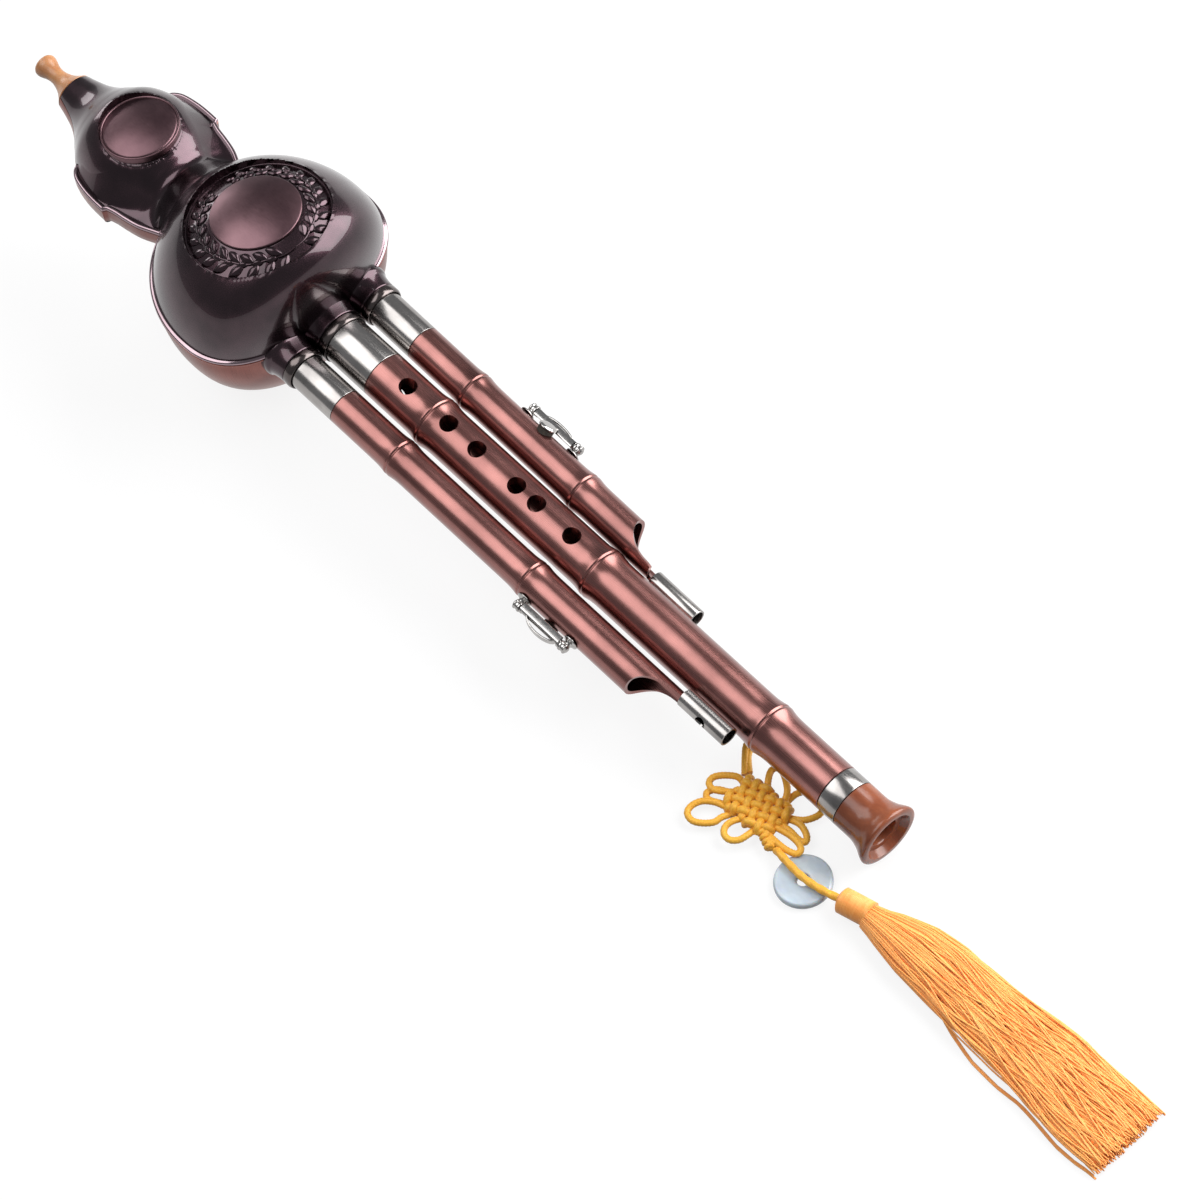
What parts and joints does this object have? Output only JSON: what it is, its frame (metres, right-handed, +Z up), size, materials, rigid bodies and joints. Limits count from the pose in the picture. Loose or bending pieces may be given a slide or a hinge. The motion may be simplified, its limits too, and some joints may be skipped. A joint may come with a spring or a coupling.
{
  "type": "hulusi gourd flute",
  "caption": "Free-reed gourd flute in antique copper finish, with melody pipe, keyed drones, mouthpiece and a knotted cord charm with tassel.",
  "frame": {"origin": "on the table, in the middle of the small flat on the gourd back where the instrument rests", "axes": "+X along the melody pipe as seen from above, towards the bell; +Y towards the shorter drone; +Z up, out of the table"},
  "size_m": [0.5583, 0.0866, 0.0818],
  "materials": {
    "front_copper": "dark antique copper plating, glossy",
    "back_copper": "antique copper plating, brushed",
    "pipe_copper": "antique copper plating, brushed along the pipe",
    "nickel": "bright nickel plating, lightly brushed",
    "key_nickel": "bright polished plating",
    "amber": "pale amber, satin",
    "resin": "red-brown, glossy",
    "cork": "bare cork",
    "pad": "pale skin",
    "brass": "plain brass",
    "cord": "golden twisted cord",
    "silk": "orange silk thread",
    "jade": "pale blue-grey polished stone, slightly cloudy"
  },
  "bodies": {
    "gourd": {"gourd_front_shell": "front_copper", "gourd_back_shell": "back_copper", "upper_medallion": "front_copper", "lower_medallion_plate": "front_copper", "lower_medallion_boss": "front_copper", "socket_plate": "back_copper", "main_collar": "nickel", "left_collar": "nickel", "right_collar": "nickel", "main_socket": "nickel", "left_socket": "nickel", "right_socket": "nickel"},
    "mouthpiece": {"mouthpiece": "amber", "mouthpiece_cork": "cork"},
    "main_pipe": {"main_pipe": "pipe_copper", "main_reed_tube": "brass", "main_reed": "brass", "bell_band": "nickel", "bell": "resin", "hanging_loop": "cord", "charm_knot": "cord", "button_knot": "cord", "drop_cord": "cord", "jade_disc": "jade", "tassel_head": "silk", "tassel_skirt": "silk"},
    "left_drone": {"left_drone_pipe": "pipe_copper", "left_reed_tube": "brass", "left_reed": "brass", "left_tail_tube": "nickel", "left_key_post_rear": "key_nickel", "left_key_post_front": "key_nickel", "left_key_rod": "key_nickel"},
    "right_drone": {"right_drone_pipe": "pipe_copper", "right_reed_tube": "brass", "right_reed": "brass", "right_tail_tube": "nickel", "right_key_post_rear": "key_nickel", "right_key_post_front": "key_nickel", "right_key_rod": "key_nickel"},
    "left_key": {"left_key_lever": "key_nickel", "left_key_pad": "pad"},
    "right_key": {"right_key_lever": "key_nickel", "right_key_pad": "pad"}
  },
  "joints": [
    {"name": "mouthpiece_pull", "type": "slide", "parent": "gourd", "child": "mouthpiece", "axis": [-0.9952, 0, 0.098], "range_m": [0, 0.01]},
    {"name": "main_pipe_pull", "type": "slide", "parent": "gourd", "child": "main_pipe", "axis": [0.9952, 0, -0.098], "range_m": [0, 0.009]},
    {"name": "left_drone_pull", "type": "slide", "parent": "gourd", "child": "left_drone", "axis": [0.9952, 0, -0.098], "range_m": [0, 0.012]},
    {"name": "right_drone_pull", "type": "slide", "parent": "gourd", "child": "right_drone", "axis": [0.9951, -0.01, -0.098], "range_m": [0, 0.012]},
    {"name": "left_key_turn", "type": "hinge", "parent": "left_drone", "child": "left_key", "pos_m": [0.16769, -0.028, 0.02539], "axis": [0.9952, 0, -0.098], "range_deg": [-15, 0]},
    {"name": "right_key_turn", "type": "hinge", "parent": "right_drone", "child": "right_key", "pos_m": [0.11504, 0.02742, 0.03057], "axis": [0.9951, -0.01, -0.098], "range_deg": [-15, 0]}
  ]
}
